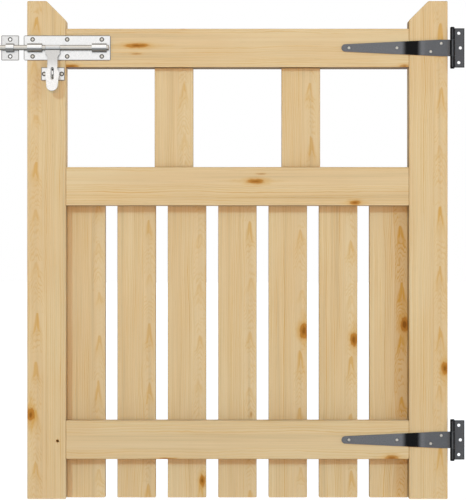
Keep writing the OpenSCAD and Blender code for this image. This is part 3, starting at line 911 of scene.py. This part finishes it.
class GATE_OT_slats(GateOperator, Operator):
    """Seven slats behind the lower rails."""

    bl_idname = "gate.slats"
    bl_label = "Slats"

    def execute(self, context):
        pine = context.scene.gate_pine
        knots = {
            "slat_3": (-459.5, -76.5, 5.4, 11.0, 5.0, 1.0),
            "slat_4": (-371.0, 44.0, 2.0, 6.0, 3.0, 0.4),
            "slat_5": (-275.5, 196.0, 7.4, 13.0, 7.0, 1.2),
            "slat_6": (-184.5, 180.0, 6.0, 12.5, 7.0, 1.1),
            "slat_7": (-92.5, 208.0, 6.8, 13.5, 7.0, 1.45),
        }
        tips = {
            "slat_1": (352.0, 82.0), "slat_2": (300.0, 96.0), "slat_3": (372.0, 90.0),
            "slat_4": (392.0, 98.0), "slat_5": (271.0, 108.0), "slat_6": (258.0, 105.0),
            "slat_7": (285.0, 100.0),
        }
        for index, name in enumerate(SLATS):
            low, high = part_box(name)
            piece = block(name + "_board", low, high)
            ease(piece, pine.arris)
            own_knots = [knots[name]] if name in knots else []
            finish_board(pine, piece, name, (low, high), upright=True, heart=(23.0, 23.0),
                         tip=tips[name], knots=own_knots, seed=60.0 + index * 11.0,
                         bold=1.5 if name == "slat_7" else 1.0)
        return {"FINISHED"}


class GATE_OT_hinges(GateOperator, Operator):
    """Two black T hinges: strap, butt plate and pin."""

    bl_idname = "gate.hinges"
    bl_label = "T Hinges"

    def execute(self, context):
        metal = context.scene.gate_metal
        joint = shoulders()[1] * TO_MM
        band = [joint + edge for edge in REFLECTION_BAND_EDGES]
        for end in ("top", "bottom"):
            strap, plate, pin = ("hinge_" + part + "_" + end for part in ("strap", "plate", "pin"))
            knuckle = middle_of(pin).x * TO_MM
            self.coat(strap, "leaf", COATED_EDGE, black_material(
                "strap_black_" + end, metal, metal.strap, band, knuckle))
            self.coat(plate, "post_side", COATED_EDGE, black_material(
                "butt_black_" + end, metal, metal.leaf, None, knuckle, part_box(plate)))
            self.coat(pin, "post_side", PIN_EDGE, black_material(
                "pin_black_" + end, metal, metal.band))
        return {"FINISHED"}

    @staticmethod
    def coat(node, body, radius, material):
        hand_in(dressed(node, radius), body, material, [node])


class GATE_OT_padbolt(GateOperator, Operator):
    """The zinc padbolt, its hasp, staple and keep."""

    bl_idname = "gate.padbolt"
    bl_label = "Padbolt"

    def execute(self, context):
        metal = context.scene.gate_metal
        for node, body in ZINC_NODES.items():
            # painted shade: plates get a dark rim and shaded slopes, the rod, guides, staple and
            # keep band dark top lines and undersides, and the hasp a darker upper part; the keep
            # plate and the rod are also darker all over in clouds
            if node.endswith("_plate"):
                looks = {"box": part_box(node), "cloud_darkening": 0.12 if node == "keep_plate" else 0.0}
            elif node == "bolt_rod":
                looks = {"over": (0.55, 0.80), "under": (0.25, 0.75), "warm": 0.12, "cloud_darkening": 0.32}
            elif node == "hasp":
                looks = {"plain": middle_of("bolt_rod").z - HASP_SHOULDER}
            else:
                looks = {"over": (0.40, 0.70), "under": (0.0, 0.30)}
            material = zinc_material(node + "_zinc", metal, **looks)
            hand_in(dressed(node, PLATED_EDGE), body, material, [node])
        return {"FINISHED"}


def screw_head(radius, rise):
    """A domed head with a cross recess, facing forward from y = 0, its flank in a second slot that
    takes a painted shaded ring.
    """
    crown = radius - SCREW_FLANK
    piece = rod_y("screw", (0.0, 0.0), radius, -rise, 0.0, 32)
    edit(piece)
    pick_faces(piece, lambda f: f.normal.y < -0.9)
    bpy.ops.mesh.inset(thickness=SCREW_FLANK)
    bpy.ops.mesh.inset(thickness=crown * 0.4)
    bpy.ops.object.mode_set(mode="OBJECT")
    # the head's outer edge is drawn low, and the edge of its flat top a little below the top
    for vertex in piece.data.vertices:
        if vertex.co.y < -rise * 0.5:
            away = math.hypot(vertex.co.x, vertex.co.z)
            if away > radius - SCREW_FLANK * 0.5:
                vertex.co.y = -rise * 0.15
            elif away > crown * 0.8:
                vertex.co.y = -rise * 0.86
    for turn in (0.0, QUARTER_TURN):
        deselect()
        bpy.ops.mesh.primitive_cube_add(size=1.0, location=(0.0, -rise, 0.0))
        slot = bpy.context.active_object
        slot.scale = (crown * 1.3, rise * 0.8, radius * 0.20)
        slot.rotation_euler = (0.0, turn, 0.0)
        settle(slot)
        bore(piece, slot)
    piece.data.materials.append(None)
    piece.data.materials.append(None)
    for face in piece.data.polygons:
        beyond = math.hypot(face.center.x, face.center.z) > crown
        face.material_index = 1 if beyond and face.normal.y > -0.97 else 0
    only(piece)
    bpy.ops.object.shade_smooth_by_angle(angle=math.radians(25.0))
    return piece


class GATE_OT_screws(GateOperator, Operator):
    """Screws in the straps, the bolt plate and the staple plate."""

    bl_idname = "gate.screws"
    bl_label = "Screws"

    def execute(self, context):
        metal, fixings = context.scene.gate_metal, context.scene.gate_fixings
        chance = random.Random(fixings.seed)
        # painted shade underneath each head, and a cloudy darkening; the flank finish is dark all
        # over, a painted shaded ring round each head
        bright = zinc_material("screw_zinc", metal, warm=0.16, under=(0.6, 1.0), cloud_darkening=0.18)
        flank = zinc_material("screw_flank", metal, under=(-1.0, -0.9))

        def drive(name, places, head, rise):
            turns = [chance.uniform(0.0, math.pi) for _ in places]
            piece = copy_to(screw_head(head / 2, rise), places, name, turns)
            hand_in(piece, "leaf", bright, second=flank)

        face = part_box("latch_stile")[0].y - STRAP_THICKNESS
        for end in ("top", "bottom"):
            pin = middle_of("hinge_pin_" + end)
            places = [(pin.x - out, face, pin.z + up) for out, up in STRAP_HOLES]
            drive("strap_screws_" + end, places, fixings.strap_head, fixings.strap_rise)

        low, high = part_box("bolt_plate")
        centre = (low + high) / 2
        columns = (low.x + PLATE_INSET, centre.x, high.x - PLATE_INSET)
        seat = low.y + SINK_DEPTH * (SINK_WIDTH - fixings.plate_head) / (SINK_WIDTH - SINK_BORE)
        places = [(x, seat, centre.z + side * PLATE_HOLE_Z) for x in columns for side in (-1, 1)]
        drive("bolt_plate_screws", places, fixings.plate_head, fixings.plate_rise)
        centre = middle_of("staple_plate")
        places = [(centre.x + side * STAPLE_HOLE_X, seat, centre.z) for side in (-1, 1)]
        drive("staple_screws", places, fixings.plate_head, fixings.plate_rise)
        return {"FINISHED"}


class GATE_OT_nails(GateOperator, Operator):
    """Nails driven through the backs of the slats into the two lower rails."""

    bl_idname = "gate.nails"
    bl_label = "Nails"

    def execute(self, context):
        metal, fixings = context.scene.gate_metal, context.scene.gate_fixings
        finish = zinc_material("nail_steel", metal, under=(2.0, 3.0))
        radius, sink = fixings.nail_head / 2, fixings.nail_sink
        for name in SLATS:
            places = self.places(name)
            cutter = rod_y("nail_hole", (0.0, 0.0), radius * 1.1, -sink * 2, sink)
            bore(bpy.data.objects[name + "_board"], copy_to(cutter, places, "nail_holes"))
            head = rod_y("nail_head", (0.0, 0.0), radius, -sink * 2, -sink)
            ease(head, radius * 0.18, 2)
            hand_in(copy_to(head, places, name + "_nails"), "leaf", finish)
        return {"FINISHED"}

    @staticmethod
    def places(name):
        """Two nails at each rail, where the slat laps it."""
        low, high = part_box(name)
        lap = (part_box("middle_rail")[0].z + high.z) / 2
        rest = middle_of("bottom_rail").z
        centre, reach = (low.x + high.x) / 2, (high.x - low.x) * NAIL_REACH
        return [(centre + side * reach, high.y, z) for side in (-1, 1) for z in (lap, rest)]


class GATE_OT_stage(GateOperator, Operator):
    """Floor, light and camera."""

    bl_idname = "gate.stage"
    bl_label = "Stage"

    def execute(self, context):
        stage = context.scene.gate_stage
        low, high = CAD_BOX
        middle = (low + high) / 2
        self.floor(low.z - stage.clearance, middle.x, stage.floor_glow)
        self.sky(context.scene, stage)
        tints = {"white": WHITE, "warm": stage.warm, "cool": stage.cool}
        for name, (aim, width, tint) in LAMPS.items():
            self.lamp(name, aim, getattr(stage, name), width, tints[tint])
        centre = Vector((middle.x + VIEW_SHIFT, 0.0, middle.z))
        self.camera(context.scene, centre, stage)
        context.scene.view_settings.view_transform = "Standard"
        return {"FINISHED"}

    @staticmethod
    def floor(level, middle, glow):
        """A pale floor that is dimmer in front of the gate, so that it sheds little light on it."""
        deselect()
        bpy.ops.mesh.primitive_plane_add(size=FLOOR_SIZE, location=(0.0, 0.0, level))
        floor = begin("floor")
        material, sheet, shader = new_material("pale_floor")
        place = sheet.placed((middle, DIM_MIDDLE_Y, 0.0))
        flat = sheet.vector("MULTIPLY", place, (1.0, 1.0, 0.0))
        away = sheet.add("ShaderNodeVectorMath", (flat,), operation="LENGTH").outputs["Value"]
        grey = sheet.mix(sheet.spread(away, *DIM_EDGES), opaque(FLOOR_DIM), opaque(FLOOR_OPEN))
        sheet.fill(shader.inputs, {
            "Base Color": grey, "Emission Color": opaque(WHITE), "Emission Strength": glow,
            "Roughness": 0.9})
        floor.data.materials.append(material)

    @staticmethod
    def sky(scene, stage):
        """Plain white to look at; what metal mirrors is brighter above and dimmer at both sides."""
        world = bpy.data.worlds.new("studio")
        world.use_nodes = True
        sheet = Sheet(world.node_tree)
        shown = world.node_tree.nodes["Background"]
        sheet.fill(shown.inputs, {"Color": opaque(WHITE)})
        x, _, z = sheet.split(sheet.add("ShaderNodeTexCoord").outputs["Object"])
        level = sheet.spread(sheet.math("ABSOLUTE", x), 0.35, 0.95, 1.0, 1.0 - stage.side_shade)
        level = sheet.plus(level, sheet.spread(z, 0.25, 1.0, 0.0, stage.top_light))
        glow = sheet.add("ShaderNodeBackground", {"Color": opaque(stage.sky), "Strength": level})
        seen = sheet.add("ShaderNodeLightPath").outputs["Is Camera Ray"]
        both = sheet.add("ShaderNodeMixShader", (seen, glow.outputs[0], shown.outputs[0]))
        sheet.fill(world.node_tree.nodes["World Output"].inputs, (both.outputs[0],))
        world.cycles_visibility.diffuse = False
        scene.world = world

    @staticmethod
    def lamp(name, aim, strength, width, tint):
        """A far lamp that shines along aim, as wide as an angle in degrees, and isn't mirrored."""
        data = bpy.data.lights.new(name, "SUN")
        data.energy = strength
        data.color = tint
        data.angle = math.radians(width)
        light = bpy.data.objects.new(name, data)
        bpy.context.scene.collection.objects.link(light)
        light.rotation_mode = "QUATERNION"
        light.rotation_quaternion = Vector(aim).to_track_quat("-Z", "Y")
        light.visible_glossy = False

    @staticmethod
    def camera(scene, centre, stage):
        """A camera square in front of the gate's face."""
        data = bpy.data.cameras.new("view")
        data.sensor_width = FILM_WIDTH
        data.lens = data.sensor_width * stage.distance / stage.view_height
        data.clip_end = 100.0
        camera = bpy.data.objects.new("view", data)
        scene.collection.objects.link(camera)
        camera.location = centre + Vector((0.0, -stage.distance, 0.0))
        camera.rotation_euler = (QUARTER_TURN, 0.0, 0.0)
        scene.camera = camera


class GATE_PT_panel(Panel):
    """Lists the gate's pieces in the sidebar."""

    bl_label = "Garden Gate"
    bl_idname = "GATE_PT_panel"
    bl_space_type = "VIEW_3D"
    bl_region_type = "UI"
    bl_category = "Gate"

    def draw(self, context):
        layout = self.layout
        for operator in OPERATORS:
            layout.operator(operator.bl_idname)
        for name in SETTINGS:
            group = getattr(context.scene, name)
            box = layout.box()
            for key in group.__annotations__:
                box.prop(group, key)


SETTINGS = {
    "gate_pine": PineSettings,
    "gate_metal": MetalSettings,
    "gate_fixings": FixingSettings,
    "gate_stage": StageSettings,
}
OPERATORS = (
    GATE_OT_stage, GATE_OT_stiles, GATE_OT_rails, GATE_OT_muntins, GATE_OT_slats,
    GATE_OT_nails, GATE_OT_hinges, GATE_OT_padbolt, GATE_OT_screws,
)


def register():
    for group in SETTINGS.values():
        bpy.utils.register_class(group)
    for name, group in SETTINGS.items():
        setattr(bpy.types.Scene, name, PointerProperty(type=group))
    for operator in OPERATORS:
        bpy.utils.register_class(operator)
    bpy.utils.register_class(GATE_PT_panel)


def unregister():
    bpy.utils.unregister_class(GATE_PT_panel)
    for operator in reversed(OPERATORS):
        bpy.utils.unregister_class(operator)
    for name, group in reversed(SETTINGS.items()):
        delattr(bpy.types.Scene, name)
        bpy.utils.unregister_class(group)


def main():
    register()
    bpy.ops.gate.stage()
    bpy.ops.gate.stiles()
    bpy.ops.gate.rails()
    bpy.ops.gate.muntins()
    bpy.ops.gate.slats()
    bpy.ops.gate.nails()
    bpy.ops.gate.hinges()
    bpy.ops.gate.padbolt()
    bpy.ops.gate.screws()
    deselect()


if __name__ == "__main__":
    main()
